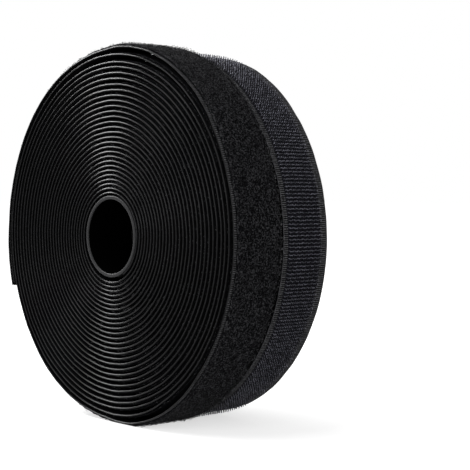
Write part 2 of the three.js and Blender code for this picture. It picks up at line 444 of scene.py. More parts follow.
def layer_tree(roll, winding):
    """A flat layer of the tape, swept along its winding. Its outer side may have ribs across it, or
    the lumps of a pile, and its back may have a material of its own."""
    sockets = (
        *WINDING_SOCKETS,
        ("Thickness", "Float", 0.001),
        ("Width", "Float", 0.0254),
        ("Edge Radius", "Float", 0.0002),
        ("Edge Steps", "Int", 1),
        ("Bevel Run", "Float", 0.0),
        ("Section Points", "Int", 0),
        ("Off Middle", "Float", 0.0),
        ("Sharp Angle", "Float", math.pi),
        ("Rib Height", "Float", 0.0),
        ("Rib Pitch", "Float", 0.001),
        ("Lump Height", "Float", 0.0),
        ("Lump Size", "Float", 0.001),
        ("Material", "Material", None),
        ("Back Material", "Material", None),
    )
    tree, given = new_tree(f"{roll.name} layer", sockets)
    passed = {name: given[name] for name, *_ in WINDING_SOCKETS}
    path = add(tree, "GeometryNodeGroup", {"node_tree": winding}, passed)[0]

    # The section's X stands outwards and its Y lies across the tape
    sides = {"Width": given["Thickness"], "Height": given["Width"]}
    section = add(tree, "GeometryNodeCurvePrimitiveQuadrilateral", None, sides)[0]
    rounding = {"Curve": section, "Radius": given["Edge Radius"], "Count": given["Edge Steps"]}
    section = add(tree, "GeometryNodeFilletCurve", {"mode": "POLY"}, rounding)[0]

    # The foot of the outer bevel runs on down the edge, so that the bevel turns more to the front
    outwards = add(tree, SPLIT_XYZ, None, {0: add(tree, "GeometryNodeInputPosition")[0]})["X"]
    crest = add(tree, MATH, TIMES, {0: given["Thickness"], 1: OUTER_FACE})[0]
    below = add(tree, MATH, BELOW, {0: outwards, 1: crest})[0]
    foot = add(tree, MATH, ABOVE, {0: outwards, 1: 0.0})[0]
    foot = add(tree, MATH, TIMES, {0: foot, 1: below})[0]
    run = add(tree, MATH, TIMES, {0: given["Bevel Run"], 1: -1.0})[0]
    run = add(tree, JOIN_XYZ, None, {"X": run})[0]
    section = add(tree, PLACE, None, {"Geometry": section, "Selection": foot, "Offset": run})[0]

    counted = {"Curve": section, "Count": given["Section Points"]}
    fine = add(tree, "GeometryNodeResampleCurve", None, counted)[0]
    wanted = add(tree, MATH, ABOVE, {0: given["Section Points"], 1: 0.0})[0]
    choice = {"Switch": wanted, "False": section, "True": fine}
    section = add(tree, "GeometryNodeSwitch", {"input_type": "GEOMETRY"}, choice)[0]
    aside = add(tree, JOIN_XYZ, None, {"Y": given["Off Middle"]})[0]
    section = add(tree, PLACE, None, {"Geometry": section, "Offset": aside})[0]
    spot = add(tree, "GeometryNodeInputPosition")[0]
    section = add(tree, STORE, ARROW, {"Geometry": section, "Name": "section", "Value": spot})[0]
    sweep = {"Curve": path, "Profile Curve": section, "Fill Caps": True}
    swept = add(tree, "GeometryNodeCurveToMesh", None, sweep)[0]

    # Only the outer side is ribbed or lumpy
    section = add(tree, NAMED, ARROW, {"Name": "section"})["Attribute"]
    along = add(tree, NAMED, NUMBER, {"Name": "along"})["Attribute"]
    outward = add(tree, NAMED, ARROW, {"Name": "outward"})["Attribute"]
    outer = add(tree, MATH, ABOVE, {0: add(tree, SPLIT_XYZ, None, {0: section})["X"], 1: 0.0})[0]
    ribs = add(tree, MATH, OVER, {0: along, 1: given["Rib Pitch"]})[0]
    ribs = add(tree, MATH, TIMES, {0: ribs, 1: math.tau})[0]
    ribs = add(tree, MATH, WAVE, {0: ribs})[0]
    ribs = add(tree, MATH, TIMES, {0: ribs, 1: given["Rib Height"]})[0]
    fineness = add(tree, MATH, OVER, {0: 1.0, 1: given["Lump Size"]})[0]
    lumps = add(tree, NOISE, None, {"Scale": fineness, "Detail": 3.0})[0]
    lumps = add(tree, MATH, MINUS, {0: lumps, 1: 0.5})[0]
    relief = add(tree, MATH, TIMES_PLUS, {0: lumps, 1: given["Lump Height"], 2: ribs})[0]
    relief = add(tree, MATH, TIMES, {0: relief, 1: outer})[0]
    relief = add(tree, VECTOR_MATH, STRETCH, {0: outward, "Scale": relief})[0]
    shaped = add(tree, PLACE, None, {"Geometry": swept, "Offset": relief})[0]
    finished = end_tree(tree, shaped, given["Material"])
    angle = add(tree, "GeometryNodeInputMeshEdgeAngle")["Unsigned Angle"]
    sharp = add(tree, MATH, ABOVE, {0: angle, 1: given["Sharp Angle"]})[0]
    crease = {"Geometry": finished, "Selection": sharp, "Shade Smooth": False}
    finished = add(tree, "GeometryNodeSetShadeSmooth", {"domain": "EDGE"}, crease)[0]

    normal = add(tree, "GeometryNodeInputNormal")["Normal"]
    facing = add(tree, VECTOR_MATH, LIKENESS, {0: normal, 1: outward})["Value"]
    back = add(tree, MATH, BELOW, {0: facing, 1: FACES_BACK})[0]
    coat = {"Geometry": finished, "Selection": back, "Material": given["Back Material"]}
    finished = add(tree, "GeometryNodeSetMaterial", None, coat)[0]
    add(tree, "NodeGroupOutput", None, {"Geometry": finished})
    return tree


STRAND_SOCKETS = (
    ("Strand", "Object", None),
    ("Lean", "Float", 0.5),
    ("Least Scale", "Float", 0.7),
    ("Most Scale", "Float", 1.2),
    ("Seed", "Int", 1),
    ("Material", "Material", None),
)


def plant(tree, given, points, standing, least_spin, most_spin):
    """Puts the tree's strand on each point, leaning to any side, spun and scaled at random."""
    other = add(tree, MATH, TIMES, {0: given["Lean"], 1: -1.0})[0]
    least = add(tree, JOIN_XYZ, None, {"X": other, "Y": other, "Z": least_spin})[0]
    most = add(tree, JOIN_XYZ, None, {"X": given["Lean"], "Y": given["Lean"], "Z": most_spin})[0]
    turned = add(tree, RANDOM, ARROW, {0: least, 1: most, "Seed": given["Seed"]})[0]
    turned = add(tree, "FunctionNodeEulerToRotation", None, {"Euler": turned})[0]
    own = {"rotation_space": "LOCAL"}
    aimed = add(tree, "FunctionNodeRotateRotation", own, {0: standing, 1: turned})[0]
    bounds = {2: given["Least Scale"], 3: given["Most Scale"], "Seed": given["Seed"]}
    scale = add(tree, RANDOM, NUMBER, bounds)[1]
    strand = {"Object": given["Strand"], "As Instance": True}
    strand = add(tree, "GeometryNodeObjectInfo", None, strand)["Geometry"]
    planted = {"Points": points, "Instance": strand, "Rotation": aimed, "Scale": scale}
    planted = add(tree, "GeometryNodeInstanceOnPoints", None, planted)[0]
    add(tree, "NodeGroupOutput", None, {"Geometry": end_tree(tree, planted, given["Material"])})
    return tree


def standing_loops_tree():
    """Loops that stand in clumps on the outer side of a pile."""
    sockets = (
        ("Pile", "Geometry", None),
        *STRAND_SOCKETS,
        ("Density", "Float", 600000.0),
        ("Clump Size", "Float", 0.002),
    )
    tree, given = new_tree("standing loops", sockets)
    normal = add(tree, "GeometryNodeInputNormal")["Normal"]
    outward = add(tree, NAMED, ARROW, {"Name": "outward"})["Attribute"]
    facing = add(tree, VECTOR_MATH, LIKENESS, {0: normal, 1: outward})["Value"]
    outer = add(tree, MATH, ABOVE, {0: facing, 1: FACES_OUT})[0]
    fineness = add(tree, MATH, OVER, {0: 1.0, 1: given["Clump Size"]})[0]
    clumps = add(tree, NOISE, None, {"Scale": fineness, "Detail": 1.0})[0]
    clumped = {"Value": clumps, "From Min": 0.38, "From Max": 0.62, "To Max": 2.0}
    clumps = add(tree, RANGE, None, clumped)[0]
    density = add(tree, MATH, TIMES, {0: given["Density"], 1: clumps})[0]
    scatter = {"Mesh": given["Pile"], "Selection": outer, "Density": density, "Seed": given["Seed"]}
    points = add(tree, "GeometryNodeDistributePointsOnFaces", None, scatter)
    return plant(tree, given, points["Points"], points["Rotation"], 0.0, math.tau)


# A hook is spun off the line of its tape by up to this angle, in radians
HOOK_SPIN = 0.3


def hook_rows_tree(roll, winding):
    """Rows of hooks across the tape. The hooks of neighbouring columns open to opposite ways."""
    sockets = (
        *WINDING_SOCKETS,
        *STRAND_SOCKETS,
        ("First Column", "Float", 0.0),
        ("Column Pitch", "Float", 0.0016),
        ("Columns", "Int", 12),
        ("Scatter", "Float", 0.0001),
    )
    tree, given = new_tree(f"{roll.name} hook rows", sockets)
    passed = {name: given[name] for name, *_ in WINDING_SOCKETS}
    path = add(tree, "GeometryNodeGroup", {"node_tree": winding}, passed)[0]
    first = add(tree, JOIN_XYZ, None, {"Y": given["First Column"]})[0]
    pitch = add(tree, JOIN_XYZ, None, {"Y": given["Column Pitch"]})[0]
    line = {"Count": given["Columns"], "Start Location": first, "Offset": pitch}
    row = add(tree, "GeometryNodeMeshLine", {"mode": "OFFSET"}, line)[0]
    index = add(tree, "GeometryNodeInputIndex")[0]
    row = add(tree, STORE, NUMBER, {"Geometry": row, "Name": "column", "Value": index})[0]
    rows = add(tree, "GeometryNodeInstanceOnPoints", None, {"Points": path, "Instance": row})[0]
    seats = add(tree, "GeometryNodeRealizeInstances", None, {"Geometry": rows})[0]
    most = add(tree, JOIN_XYZ, None, {axis: given["Scatter"] for axis in "XYZ"})[0]
    least = add(tree, VECTOR_MATH, STRETCH, {0: most, "Scale": -1.0})[0]
    shift = add(tree, RANDOM, ARROW, {0: least, 1: most, "Seed": given["Seed"]})[0]
    seats = add(tree, PLACE, None, {"Geometry": seats, "Offset": shift})[0]

    outward = add(tree, NAMED, ARROW, {"Name": "outward"})["Attribute"]
    axes = {"primary_axis": "Z", "secondary_axis": "Y"}
    standing = add(tree, "FunctionNodeAxesToRotation", axes, {0: outward, 1: (0.0, 1.0, 0.0)})[0]
    column = add(tree, NAMED, NUMBER, {"Name": "column"})["Attribute"]
    parity = add(tree, MATH, {"operation": "MODULO"}, {0: column, 1: 2.0})[0]
    least_spin = add(tree, MATH, TIMES_PLUS, {0: parity, 1: math.pi, 2: -HOOK_SPIN})[0]
    most_spin = add(tree, MATH, PLUS, {0: least_spin, 1: 2 * HOOK_SPIN})[0]
    return plant(tree, given, seats, standing, least_spin, most_spin)


def edge_fuzz_tree(roll, winding):
    """Loops that stand out of the pile between the turns, towards the roll's open side."""
    sockets = (
        *WINDING_SOCKETS,
        *STRAND_SOCKETS,
        ("Side", "Float", 0.01),
        ("Scatter", "Float", 0.0003),
    )
    tree, given = new_tree(f"{roll.name} edge fuzz", sockets)
    passed = {name: given[name] for name, *_ in WINDING_SOCKETS}
    path = add(tree, "GeometryNodeGroup", {"node_tree": winding}, passed)[0]
    least = add(tree, MATH, TIMES, {0: given["Scatter"], 1: -1.0})[0]
    rise = add(tree, RANDOM, NUMBER, {2: least, 3: given["Scatter"], "Seed": given["Seed"]})[1]
    outward = add(tree, NAMED, ARROW, {"Name": "outward"})["Attribute"]
    rise = add(tree, VECTOR_MATH, STRETCH, {0: outward, "Scale": rise})[0]
    side = add(tree, JOIN_XYZ, None, {"Y": given["Side"]})[0]
    shift = add(tree, VECTOR_MATH, PLUS, {0: rise, 1: side})[0]
    seats = add(tree, PLACE, None, {"Geometry": path, "Offset": shift})[0]
    axes = {"primary_axis": "Z", "secondary_axis": "X"}
    standing = add(tree, "FunctionNodeAxesToRotation", axes, {0: side, 1: outward})[0]
    return plant(tree, given, seats, standing, 0.0, math.tau)


# Materials
#
# The backdrop is mirrored in every surface at its full strength, so the black ones have low
# specular levels: with more, they would turn grey where they are seen at a slant.


def new_material(name, base, roughness, **more):
    """A material with one principled shader, its tree and that shader."""
    material = bpy.data.materials.new(name)
    material.use_nodes = True
    shader = material.node_tree.nodes["Principled BSDF"]
    shader.inputs["Base Color"].default_value = base
    shader.inputs["Roughness"].default_value = roughness
    for socket, value in more.items():
        shader.inputs[socket.replace("_", " ")].default_value = value
    return material, material.node_tree, shader


def vary(tree, shader, grain, detail, depth=0.0, strength=0.0, tint=None, rough=None):
    """Varies a surface from place to place with one noise: its height by a depth, its colour by a
    share of its base, and its roughness. Each of these two maps the noise's limits to its own."""
    place = add(tree, "ShaderNodeTexCoord")["Object"]
    noise = add(tree, NOISE, None, {"Vector": place, "Scale": 1 / grain, "Detail": detail})[0]
    if depth:
        bump = {"Height": noise, "Distance": depth, "Strength": strength}
        tree.links.new(add(tree, "ShaderNodeBump", None, bump)[0], shader.inputs["Normal"])
    if tint:
        share = add(tree, RANGE, None, {"Value": noise, **tint})[0]
        base = tuple(shader.inputs["Base Color"].default_value[:3])
        tinted = add(tree, VECTOR_MATH, STRETCH, {0: base, "Scale": share})[0]
        tree.links.new(tinted, shader.inputs["Base Color"])
    if rough:
        rough = add(tree, RANGE, None, {"Value": noise, **rough})[0]
        tree.links.new(rough, shader.inputs["Roughness"])


def woven_nylon(roll, name, selvage_rib_highlight, ground, cut_edge_highlight, gloss):
    """Woven nylon web, dyed black and heat-set. It is dull, as its threads trap the light. Ribs
    cross its bare selvages, and their crests are painted paler, a painted highlight for the light the
    ribs catch. The heat of the cut seals its edges, and these are painted paler too, a painted
    highlight for the light their bevels catch. Between the selvages lies the ground of its pile or
    its hooks. The real ribs are a third finer than these, which are drawn to show."""
    sizes, finishes = settings().tape, settings().finishes
    material, tree, shader = new_material(
        name, finishes.web, roughness=0.34, Specular_IOR_Level=gloss
    )
    place = add(tree, "ShaderNodeTexCoord")["Object"]
    along = add(tree, "ShaderNodeAttribute", {"attribute_name": "along"})["Fac"]
    ribs = add(tree, MATH, TIMES, {0: along, 1: math.tau / sizes.rib_pitch})[0]
    ribs = add(tree, MATH, WAVE, {0: ribs})[0]
    grain = add(tree, NOISE, None, {"Vector": place, "Scale": 1 / (0.8 * MM), "Detail": 3.0})[0]
    height = add(tree, MATH, TIMES_PLUS, {0: ribs, 1: 0.2, 2: grain})[0]
    bump = {"Height": height, "Distance": 0.05 * MM, "Strength": 0.4}
    tree.links.new(add(tree, "ShaderNodeBump", None, bump)[0], shader.inputs["Normal"])

    # Painted highlight: the rib crests take the paler selvage colour, as if lit
    pale = add(tree, RANGE, None, {"Value": ribs, "From Min": -0.2, "From Max": 0.9})[0]
    blend = {"Factor": pale, 6: finishes.web, 7: selvage_rib_highlight}
    cloth = add(tree, "ShaderNodeMix", {"data_type": "RGBA"}, blend)[2]
    section = add(tree, "ShaderNodeAttribute", {"attribute_name": "section"})["Vector"]
    across = add(tree, SPLIT_XYZ, None, {0: section})["Y"]
    low, high = roll.face
    fade = 0.3 * MM
    front = {"Value": across, "From Min": low, "From Max": low + fade}
    rear = {"Value": across, "From Min": high, "From Max": high - fade}
    field = {0: add(tree, RANGE, None, front)[0], 1: add(tree, RANGE, None, rear)[0]}
    blend = {"Factor": add(tree, MATH, TIMES, field)[0], 6: cloth, 7: ground}
    cloth = add(tree, "ShaderNodeMix", {"data_type": "RGBA"}, blend)[2]
    # Painted highlight: the cut edges, out past the bevels, take the paler cut colour
    edge = TAPE_WIDTH / 2 - sizes.web_edge
    fade = 0.05 * MM
    off = add(tree, MATH, SIZE_ONLY, {0: across})[0]
    cut = {"Value": off, "From Min": edge - fade, "From Max": edge + fade}
    blend = {"Factor": add(tree, RANGE, None, cut)[0], 6: cloth, 7: cut_edge_highlight}
    cloth = add(tree, "ShaderNodeMix", {"data_type": "RGBA"}, blend)[2]
    wear = {"Value": grain, "From Min": 0.35, "From Max": 0.65, "To Min": 0.4, "To Max": 1.6}
    worn = {0: cloth, "Scale": add(tree, RANGE, None, wear)[0]}
    worn = add(tree, VECTOR_MATH, STRETCH, worn)[0]
    tree.links.new(worn, shader.inputs["Base Color"])
    return material


def brushed_pile(name, curled):
    """Brushed nylon pile: fine loops, broken up and felted until they swallow the light. Its depth is
    painted near black, painted shade among the loops over the black of the nylon. What shows is
    their curled ends, about half a millimetre wide, which are drawn at 0.7 mm so that they show."""
    finishes = settings().finishes
    material, tree, shader = new_material(
        name, finishes.pile, roughness=0.8, Specular_IOR_Level=0.02
    )
    place = add(tree, "ShaderNodeTexCoord")["Object"]
    clumps = add(tree, NOISE, None, {"Vector": place, "Scale": 1 / (2.5 * MM), "Detail": 2.0})[0]
    curls = add(tree, NOISE, None, {"Vector": place, "Scale": 1 / (0.7 * MM), "Detail": 1.0})[0]
    mixed = add(tree, MATH, TIMES_PLUS, {0: clumps, 1: 0.3, 2: curls})[0]
    # Between the curls the pile keeps its near-black depth, painted shade
    showing = add(tree, RANGE, None, {"Value": mixed, "From Min": 0.63, "From Max": 0.86})[0]
    blend = {"Factor": showing, 6: finishes.pile, 7: curled}
    tinted = add(tree, "ShaderNodeMix", {"data_type": "RGBA"}, blend)[2]
    tree.links.new(tinted, shader.inputs["Base Color"])
    bump = {"Height": curls, "Distance": 0.3 * MM, "Strength": 0.7}
    tree.links.new(add(tree, "ShaderNodeBump", None, bump)[0], shader.inputs["Normal"])
    return material


def brushed_loops(name, base):
    """The loops that still stand on the pile: the same nylon, paler where a single fibre catches
    the light. A real fibre is a few hundredths of a millimetre thick, and is drawn thicker to
    show."""
    material, tree, shader = new_material(name, base, roughness=0.6, Specular_IOR_Level=0.08)
    tint = {"From Min": 0.48, "From Max": 0.62, "To Min": 0.02, "To Max": 2.0}
    vary(tree, shader, grain=1.2 * MM, detail=1.0, tint=tint)
    return material


def drawn_monofilament():
    """Drawn nylon monofilament, dyed a bluish black and heat-set before it is cut: smooth and
    stiff, with a small highlight on the crown of each hook. Its colour is painted a pale bluish grey,
    a painted sheen over the bluish black of the nylon."""
    base = settings().finishes.hooks
    material, tree, shader = new_material(
        "drawn nylon monofilament", base, roughness=0.35, IOR=1.53, Specular_IOR_Level=0.15
    )
    tint = {"From Min": 0.35, "From Max": 0.65, "To Min": 0.3, "To Max": 1.7}
    vary(tree, shader, grain=1.5 * MM, detail=1.0, tint=tint)
    return material


def moulded_plastic(name, base, roughness, **more):
    """Injection-moulded polystyrene: even and dull, with the faint grain of the mould."""
    material, tree, shader = new_material(name, base, roughness, **more)
    tint = {"To Min": 0.8, "To Max": 1.2}
    vary(tree, shader, grain=0.8 * MM, detail=3.0, depth=0.03 * MM, strength=0.25, tint=tint)
    return material


def release_film(name, gloss):
    """Siliconed polyethylene film: very glossy and black over the adhesive, with faint waves. The
    face beneath dulls it where it is wound, and so does dust under the loose last turns."""
    base = settings().finishes.liner
    material, tree, shader = new_material(
        name, base, roughness=0.12, IOR=1.5, Specular_IOR_Level=gloss
    )
    rough = {"To Min": 0.08, "To Max": 0.2}
    vary(tree, shader, grain=6 * MM, detail=2.0, depth=0.2 * MM, strength=0.2, rough=rough)
    return material


def adhesive():
    """Hot-melt rubber adhesive: black and tacky, a wet gloss broken by small ripples."""
    base = settings().finishes.adhesive
    material, tree, shader = new_material(
        "hot-melt rubber adhesive", base, roughness=0.2, IOR=1.5, Specular_IOR_Level=0.1
    )
    rough = {"To Min": 0.12, "To Max": 0.35}
    vary(tree, shader, grain=2 * MM, detail=3.0, depth=0.1 * MM, strength=0.4, rough=rough)
    return material


# Making pieces


def link(obj):
    bpy.context.scene.collection.objects.link(obj)
    return obj


def skin(name, rings, closed):
    """A mesh over rings of points, each joined to the next. The last ring is joined to the first
    where it is closed, and else both have a cap."""
    shape = bmesh.new()
    rings = [[shape.verts.new(point) for point in ring] for ring in rings]
    for ring, following in zip(rings, rings[1:] + rings[:1] * closed):
        for k in range(len(ring)):
            after = (k + 1) % len(ring)
            shape.faces.new((ring[k], ring[after], following[after], following[k]))
    if not closed:
        shape.faces.new(rings[0])
        shape.faces.new(rings[-1])
    bmesh.ops.recalc_face_normals(shape, faces=shape.faces)
    mesh = bpy.data.meshes.new(name)
    shape.to_mesh(mesh)
    shape.free()
    return mesh


def grow(name, tree, values, base=None):
    """Runs a tree with its named inputs set, on a base mesh or on nothing, for a plain piece."""
    mesh = base.data.copy() if base else bpy.data.meshes.new(name)
    host = link(bpy.data.objects.new(f"{name} host", mesh))
    modifier = host.modifiers.new(name, "NODES")
    modifier.node_group = tree
    sockets = {s.name: s.identifier for s in tree.interface.items_tree if s.in_out == "INPUT"}
    for label, value in values.items():
        modifier[sockets[label]] = value
    depsgraph = bpy.context.evaluated_depsgraph_get()
    made = bpy.data.meshes.new_from_object(host.evaluated_get(depsgraph), depsgraph=depsgraph)
    if not made.polygons:
        raise RuntimeError(f"{name} came out empty")
    made.name = name
    bpy.data.objects.remove(host)
    return link(bpy.data.objects.new(name, made))


STRAND_SIDES = 3


def strand(name, points, thickness):
    """A thin bent strand through points of the XZ plane, closed at both ends, to be placed many
    times."""
    path = [Vector((x, 0, z)) for x, z in points]
    across = Vector((0, 1, 0))
    angles = [math.tau * k / STRAND_SIDES for k in range(STRAND_SIDES)]
    rings = []
    for before, point, after in zip([path[0], *path], path, [*path[1:], path[-1]]):
        side = (after - before).cross(across).normalized()
        round_it = [math.cos(angle) * side + math.sin(angle) * across for angle in angles]
        rings.append([point + thickness / 2 * offset for offset in round_it])
    return link(bpy.data.objects.new(name, skin(name, rings, closed=False)))


def between(from_turn, to_turn, steps_in_turn, height=0.0):
    """The inputs of a winding between two turns."""
    winding = settings().winding
    return {
        "First Radius": winding.first_radius,
        "Pitch": winding.pitch,
        "Growth": winding.growth,
        "Wander": winding.wander,
        "Side Wander": winding.wander_side,
        "Wander Size": winding.wander_size,
        "From Turn": from_turn,
        "To Turn": to_turn,
        "Steps": max(1, round(steps_in_turn * (to_turn - from_turn))),
        "Height": height,
    }


def winding_of(roll):
    return bpy.data.node_groups.get(f"{roll.name} winding") or winding_tree(roll)


def layer_of(roll):
    return bpy.data.node_groups.get(f"{roll.name} layer") or layer_tree(roll, winding_of(roll))


# A free end's pieces start this many degrees before its hinge. The outer turn, with all its
# detail, is a little more than a whole one.
BEND_DEGREES = 3.0
OUTER_TURN = 1.02


def bend_turn(roll):
    """The turn count where a free end's piece starts, just before it bends."""
    return roll.turn_at(roll.hinge_degrees - BEND_DEGREES)


def shown_from(roll):
    """The turn count from which a roll's tape shows from outside, also with its end peeled."""
    return bend_turn(roll) - OUTER_TURN


def dress(piece, roll, nodes):
    """Lets a piece turn with its roll, in the place of the CAD nodes."""
    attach(piece, f"{roll.name}_roll")
    if nodes:
        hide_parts(*nodes)


def dress_free_end(piece, nodes):
    """Bakes where a piece of a free end lies into its mesh, in the place of the CAD nodes."""
    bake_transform(piece)
    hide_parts(*nodes)


class MakeStage(Operator):
    """Puts up the floor, the backdrop, the soft lights and the camera"""

    bl_idname = "tape_rolls.make_stage"
    bl_label = "Make Stage"

    def execute(self, context):
        stage = settings().stage
        make_floor()
        make_backdrop(stage.sky)
        for name, towards, distance, side, power in (
            ("key", (-0.8, -0.18, 0.58), 0.9, 0.32, stage.key),
            ("top", (-0.06, -0.5, 0.86), 0.85, 0.5, stage.top),
            ("front", (0.2, -0.92, 0.3), 0.9, 0.35, stage.front),
            ("fill", (0.9, -0.35, 0.25), 1.0, 0.8, stage.fill),
        ):
            light = bpy.data.lights.new(name, "AREA")
            light.size = side
            light.energy = power
            lamp = link(bpy.data.objects.new(name, light))
            lamp.location = AXIS + distance * Vector(towards).normalized()
            lamp.rotation_euler = (AXIS - lamp.location).to_track_quat("-Z", "Y").to_euler()
        make_camera(context)
        context.scene.view_settings.view_transform = "Standard"
        return {"FINISHED"}


def make_floor():
    """A plain pale floor. Where it is seen or mirrored it is lifted to the white of the backdrop,
    more so further off, and near the rolls it keeps their shadow."""
    side = 8.0
    mesh = bpy.data.meshes.new("floor")
    corners = [(x * side, y * side, 0.0) for x, y in ((-1, -1), (1, -1), (1, 1), (-1, 1))]
    mesh.from_pydata(corners, [], [(0, 1, 2, 3)])
    floor = link(bpy.data.objects.new("floor", mesh))
    base = settings().finishes.floor
    material, tree, shader = new_material(
        "pale floor", base, roughness=0.9, Specular_IOR_Level=0.0
    )
    rays = add(tree, "ShaderNodeLightPath")
    seen = add(tree, MATH, LARGER, {0: rays["Is Camera Ray"], 1: rays["Is Glossy Ray"]})[0]
    seen = add(tree, MATH, LARGER, {0: seen, 1: rays["Is Transmission Ray"]})[0]
    place = add(tree, "ShaderNodeTexCoord")["Object"]
    away = add(tree, VECTOR_MATH, {"operation": "LENGTH"}, {0: place})["Value"]
    lift = {"Value": away, "From Min": 0.25, "From Max": 1.2, "To Min": 0.65, "To Max": 1.0}
    lift = add(tree, MATH, TIMES, {0: seen, 1: add(tree, RANGE, None, lift)[0]})[0]
    shader.inputs["Emission Color"].default_value = (1, 1, 1, 1)
    tree.links.new(lift, shader.inputs["Emission Strength"])
    mesh.materials.append(material)


def make_backdrop(sky):
    """A white world: as bright as white paper where it is seen or mirrored, and dimmer as light."""
    world = bpy.data.worlds.new("backdrop")
    world.use_nodes = True
    tree = world.node_tree
    rays = add(tree, "ShaderNodeLightPath")
    seen = add(tree, MATH, LARGER, {0: rays["Is Camera Ray"], 1: rays["Is Glossy Ray"]})[0]
    seen = add(tree, MATH, LARGER, {0: seen, 1: rays["Is Transmission Ray"]})[0]
    strength = add(tree, RANGE, None, {"Value": seen, "To Min": sky, "To Max": 1.0})[0]
    background = tree.nodes["Background"]
    background.inputs["Color"].default_value = (1, 1, 1, 1)
    tree.links.new(strength, background.inputs["Strength"])
    bpy.context.scene.world = world


# The photograph's view, found by fitting a pinhole camera to the rims of the rolls: where the
# camera stands from the hub of the front roll, how far off the hub it aims, and its focal length
CAMERA_AZIMUTH = math.radians(53.355)
CAMERA_ELEVATION = math.radians(2.051)
CAMERA_DISTANCE = 572.9 * MM
AIM_RIGHT = math.radians(5.527)
AIM_UP = math.radians(0.069)
FOCAL_PIXELS = 1291.79
PHOTO_SIDE = 470


def make_camera(context):
    """Puts the camera where the photograph was taken from."""
    hub = Vector((AXIS.x, TAPE_LOW.y, AXIS.z))
    level = Vector((math.sin(CAMERA_AZIMUTH), -math.cos(CAMERA_AZIMUTH), 0))
    back = level * math.cos(CAMERA_ELEVATION) + Vector((0, 0, math.sin(CAMERA_ELEVATION)))
    right = Vector((0, 0, 1)).cross(back).normalized()
    up = back.cross(right)
    ahead = right * math.sin(AIM_RIGHT) - back * math.cos(AIM_RIGHT)
    right = right * math.cos(AIM_RIGHT) + back * math.sin(AIM_RIGHT)
    ahead, up = (
        ahead * math.cos(AIM_UP) + up * math.sin(AIM_UP),
        up * math.cos(AIM_UP) - ahead * math.sin(AIM_UP),
    )
    data = bpy.data.cameras.new("camera")
    data.lens = FOCAL_PIXELS * data.sensor_width / PHOTO_SIDE
    camera = link(bpy.data.objects.new("camera", data))
    turned = Matrix((right, up, -ahead)).transposed().to_4x4()
    camera.matrix_world = Matrix.Translation(hub + back * CAMERA_DISTANCE) @ turned
    context.scene.camera = camera


class MakeCores(Operator):
    """Turns the moulded ring in the middle of each roll"""

    bl_idname = "tape_rolls.make_cores"
    bl_label = "Make Cores"

    def execute(self, context):
        finishes = settings().finishes
        rim = moulded_plastic(
            "moulded polystyrene", finishes.core, roughness=0.5, Specular_IOR_Level=0.15
        )
        # The bore's wall is near black and has no gloss: painted shade for the dark inside the core
        bore = moulded_plastic(
            "moulded polystyrene in shade", finishes.bore, roughness=0.9, Specular_IOR_Level=0.0
        )
        for roll in ROLLS:
            dress(core_ring(roll, rim, bore), roll, [f"{roll.name}_core"])
        return {"FINISHED"}


CORE_WALL = 1.65 * MM
CORE_FILLET = 0.5 * MM
CORE_SIDES = 128
FILLET_STEPS = 4


def core_ring(roll, rim, bore):
    """A ring with rounded rims, turned about the rolls' axis."""
    outer = CORE_RADIUS - CORE_FILLET
    inner = CORE_RADIUS - CORE_WALL + CORE_FILLET
    half = TAPE_WIDTH / 2 - CORE_FILLET
    corners = ((inner, -half), (outer, -half), (outer, half), (inner, half))
    section = []
    for corner, (radius, y) in enumerate(corners):
        for step in range(FILLET_STEPS + 1):
            angle = math.pi + math.pi / 2 * (corner + step / FILLET_STEPS)
            out, across = CORE_FILLET * math.cos(angle), CORE_FILLET * math.sin(angle)
            section.append((radius + out, y + across))
    middle = Vector((AXIS.x, roll.middle, AXIS.z))
    rings = []
    for i in range(CORE_SIDES):
        angle = math.tau * i / CORE_SIDES
        outward = Vector((math.cos(angle), 0, math.sin(angle)))
        rings.append([middle + r * outward + Vector((0, y, 0)) for r, y in section])
    mesh = skin(f"{roll.name}_core_ring", rings, closed=True)
    mesh.materials.append(rim)
    mesh.materials.append(bore)
    mesh.shade_smooth()

    # The last side of the section is the wall of the bore
    for k in range(len(section) - 1, len(mesh.polygons), len(section)):
        mesh.polygons[k].material_index = 1
    return link(bpy.data.objects.new(mesh.name, mesh))


# Edges of a web that are sharper than this stay sharp, so that its bevels catch the light as flats
SHARP_ANGLE = math.radians(25)


